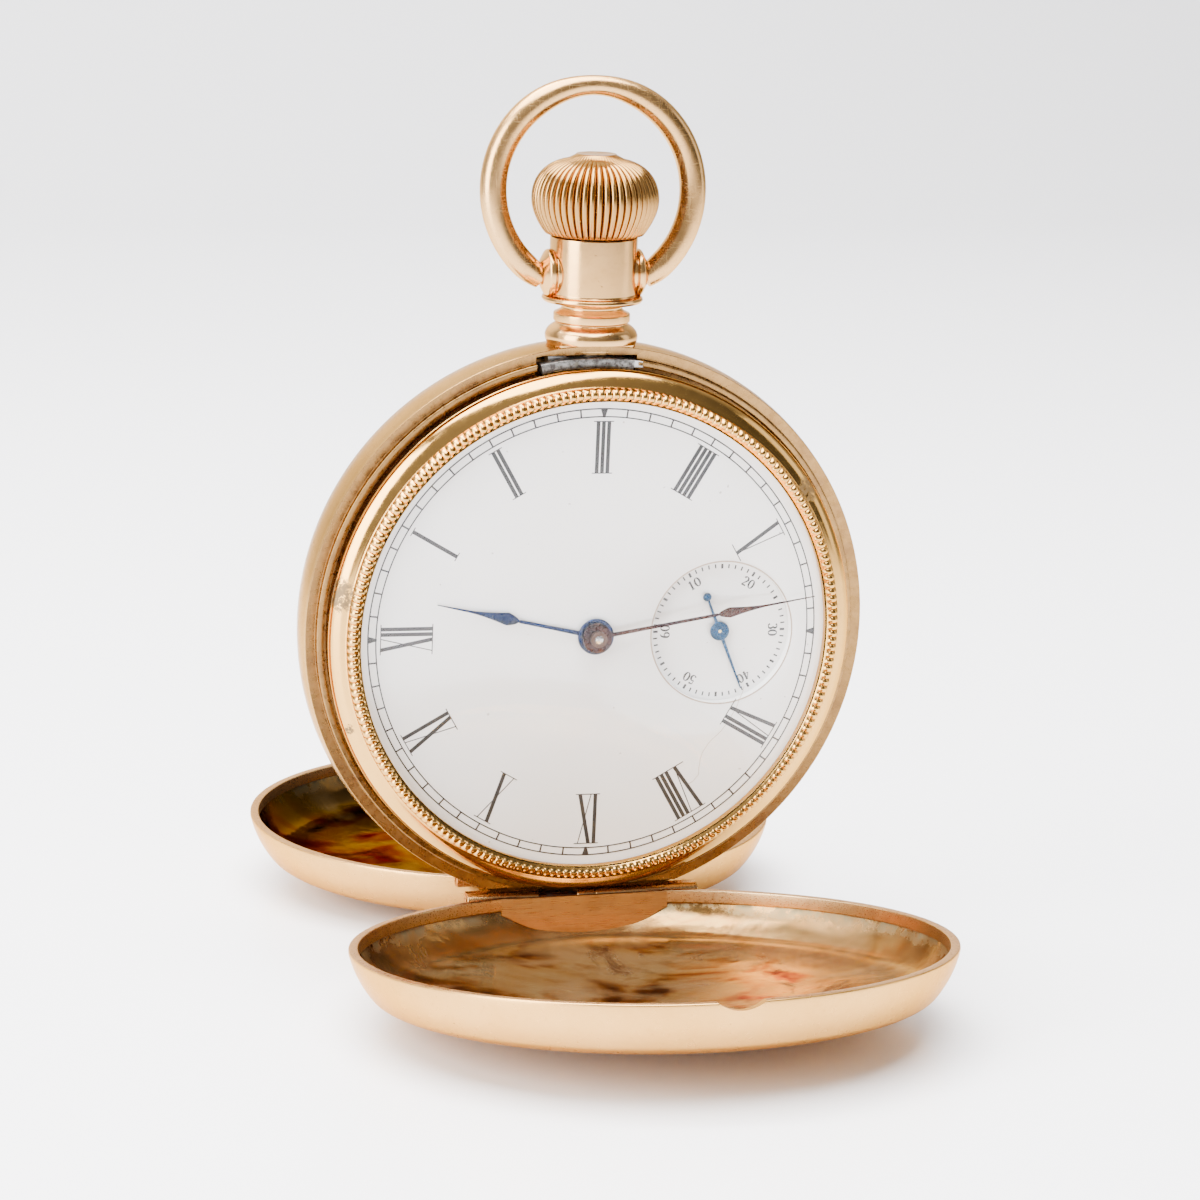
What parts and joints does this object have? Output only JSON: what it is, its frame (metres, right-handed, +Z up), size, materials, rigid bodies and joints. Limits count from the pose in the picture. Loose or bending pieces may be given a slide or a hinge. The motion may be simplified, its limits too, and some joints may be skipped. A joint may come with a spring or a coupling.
{
  "type": "pocket watch",
  "caption": "Hunter-case pocket watch standing open on its two domed lids, with fluted crown, swivelling bow, white enamel dial, sunk seconds dial, spade hands and a geared movement.",
  "frame": {"origin": "centre of the footprint box, on the table under the two open lids", "axes": "+Z up, -Y the way the dial faces, X across the dial with the six o'clock mark toward +X and the pendant (three o'clock) up"},
  "size_m": [0.0544, 0.1104, 0.0834],
  "materials": {
    "case_gold": "satin rose gold, worn smooth",
    "lid_gold": "rose gold, satin outside, tarnished polish inside",
    "bezel_gold": "polished gold with a coin-edge ring",
    "crown_gold": "polished gold flutes",
    "crystal_glass": "clear thin domed glass",
    "enamel": "white fired enamel",
    "blued_steel": "heat-blued",
    "steel": "plain steel",
    "movement_brass": "gilt brass",
    "nickel_plate": "nickel, damascened",
    "ruby": "synthetic ruby"
  },
  "bodies": {
    "case": {"case_centre": "case_gold", "pendant": "case_gold", "bezel": "bezel_gold", "crystal": "crystal_glass", "dial": "enamel", "seconds_dial": "enamel", "pillar_plate": "nickel_plate", "pillars": "movement_brass", "case_screws": "steel", "top_plate": "nickel_plate", "plate_screws": "blued_steel", "train_jewels": "ruby", "pallet_bridge": "nickel_plate", "balance_cock": "nickel_plate", "cock_screw": "blued_steel", "balance_cap_jewel": "ruby", "hairspring": "blued_steel", "lift_spring": "steel", "front_hinge_pin": "steel", "rear_hinge_pin": "steel", "dust_cover_pin": "steel", "crown_wheel_screw": "steel", "click_screw": "blued_steel"},
    "front_lid": {"front_lid": "lid_gold"},
    "rear_lid": {"rear_lid": "lid_gold"},
    "dust_cover": {"dust_cover": "lid_gold"},
    "bow": {"bow": "case_gold"},
    "winding": {"winding_arbor": "steel", "winding_pinion": "steel", "castle_wheel": "steel"},
    "crown": {"crown": "crown_gold", "crown_stem": "steel"},
    "lock_spring": {"lock_spring": "steel"},
    "minute": {"centre_wheel": "movement_brass", "cannon_pinion": "steel", "minute_hand": "blued_steel"},
    "hour": {"hour_wheel": "movement_brass", "hour_hand": "blued_steel"},
    "minute_wheel": {"minute_wheel": "movement_brass"},
    "third_wheel": {"third_wheel": "movement_brass"},
    "seconds": {"fourth_wheel": "movement_brass", "seconds_hand": "blued_steel"},
    "escape_wheel": {"escape_wheel": "steel"},
    "barrel": {"mainspring_barrel": "movement_brass", "mainspring": "steel"},
    "crown_wheel": {"crown_wheel": "steel"},
    "ratchet": {"ratchet_wheel": "steel", "barrel_arbor": "steel"},
    "click": {"click": "steel"},
    "fork": {"pallet_fork": "steel", "pallet_stones": "ruby"},
    "balance": {"balance_wheel": "movement_brass", "roller_table": "steel", "roller_jewel": "ruby"},
    "regulator": {"regulator": "steel"}
  },
  "joints": [
    {"name": "front_lid_hinge", "type": "hinge", "parent": "case", "child": "front_lid", "pos_m": [0, -0.00235, 0.00547], "axis": [1, 0, 0], "range_deg": [-80.9, 0]},
    {"name": "rear_lid_hinge", "type": "hinge", "parent": "case", "child": "rear_lid", "pos_m": [0, 0.00264, 0.00641], "axis": [-1, 0, 0], "range_deg": [-92.7, 0]},
    {"name": "dust_cover_hinge", "type": "hinge", "parent": "case", "child": "dust_cover", "pos_m": [0, 0.00304, 0.0076], "axis": [-1, 0, 0], "range_deg": [0, 84]},
    {"name": "bow_swivel", "type": "hinge", "parent": "case", "child": "bow", "pos_m": [0, -0.005, 0.06506], "axis": [1, 0, 0], "range_deg": [-80, 80]},
    {"name": "crown_turn", "type": "hinge", "parent": "case", "child": "winding", "pos_m": [0, -0.00379, 0.05172], "axis": [0, -0.0896, 0.996], "continuous": true},
    {"name": "crown_push", "type": "slide", "parent": "winding", "child": "crown", "axis": [0, -0.0896, 0.996], "range_m": [-0.0008, 0], "stiffness_N_per_m": 3000},
    {"name": "lock_spring_travel", "type": "slide", "parent": "case", "child": "lock_spring", "axis": [0, -0.0896, 0.996], "range_m": [-0.0008, 0]},
    {"name": "minute_hand_turn", "type": "hinge", "parent": "case", "child": "minute", "pos_m": [0, -0.00265, 0.03174], "axis": [0, -0.996, -0.0896], "continuous": true},
    {"name": "hour_hand_turn", "type": "hinge", "parent": "case", "child": "hour", "pos_m": [0, -0.00265, 0.03174], "axis": [0, -0.996, -0.0896], "continuous": true},
    {"name": "minute_wheel_turn", "type": "hinge", "parent": "case", "child": "minute_wheel", "pos_m": [-0.00148, -0.00306, 0.03629], "axis": [0, -0.996, -0.0896], "continuous": true},
    {"name": "third_wheel_turn", "type": "hinge", "parent": "case", "child": "third_wheel", "pos_m": [0.00764, -0.00308, 0.03648], "axis": [0, -0.996, -0.0896], "continuous": true},
    {"name": "seconds_hand_turn", "type": "hinge", "parent": "case", "child": "seconds", "pos_m": [0.01234, -0.00264, 0.03159], "axis": [0, -0.996, -0.0896], "continuous": true},
    {"name": "escape_wheel_turn", "type": "hinge", "parent": "case", "child": "escape_wheel", "pos_m": [0.00974, -0.00214, 0.02603], "axis": [0, -0.996, -0.0896], "continuous": true},
    {"name": "barrel_turn", "type": "hinge", "parent": "case", "child": "barrel", "pos_m": [-0.00935, -0.00313, 0.03712], "axis": [0, -0.996, -0.0896], "continuous": true},
    {"name": "crown_wheel_turn", "type": "hinge", "parent": "case", "child": "crown_wheel", "pos_m": [0, -0.00362, 0.0425], "axis": [0, -0.996, -0.0896], "continuous": true},
    {"name": "ratchet_turn", "type": "hinge", "parent": "case", "child": "ratchet", "pos_m": [-0.00935, -0.00313, 0.03712], "axis": [0, -0.996, -0.0896], "continuous": true},
    {"name": "click_lift", "type": "hinge", "parent": "case", "child": "click", "pos_m": [-0.01495, -0.00258, 0.03094], "axis": [0, -0.996, -0.0896], "range_deg": [-8, 0], "stiffness_Nm_per_rad": 0.0005},
    {"name": "pallet_fork_rock", "type": "hinge", "parent": "case", "child": "fork", "pos_m": [0.00609, -0.00193, 0.02376], "axis": [0, -0.996, -0.0896], "range_deg": [-5, 5]},
    {"name": "balance_swing", "type": "hinge", "parent": "case", "child": "balance", "pos_m": [0.001, -0.00164, 0.02059], "axis": [0, -0.996, -0.0896], "range_deg": [-270, 270], "stiffness_Nm_per_rad": 0.0000033},
    {"name": "regulator_move", "type": "hinge", "parent": "case", "child": "regulator", "pos_m": [0.001, -0.00164, 0.02059], "axis": [0, -0.996, -0.0896], "range_deg": [-15, 15]}
  ],
  "couplings": [
    {"joint": "lock_spring_travel", "follows": "crown_push", "ratio": 1},
    {"joint": "hour_hand_turn", "follows": "minute_hand_turn", "ratio": 0.083333},
    {"joint": "minute_wheel_turn", "follows": "minute_hand_turn", "ratio": -0.33333},
    {"joint": "third_wheel_turn", "follows": "minute_hand_turn", "ratio": -8},
    {"joint": "seconds_hand_turn", "follows": "minute_hand_turn", "ratio": 60},
    {"joint": "escape_wheel_turn", "follows": "minute_hand_turn", "ratio": -600},
    {"joint": "barrel_turn", "follows": "minute_hand_turn", "ratio": -0.125},
    {"joint": "crown_wheel_turn", "follows": "crown_turn", "ratio": 0.57143},
    {"joint": "ratchet_turn", "follows": "crown_turn", "ratio": -0.36364}
  ]
}
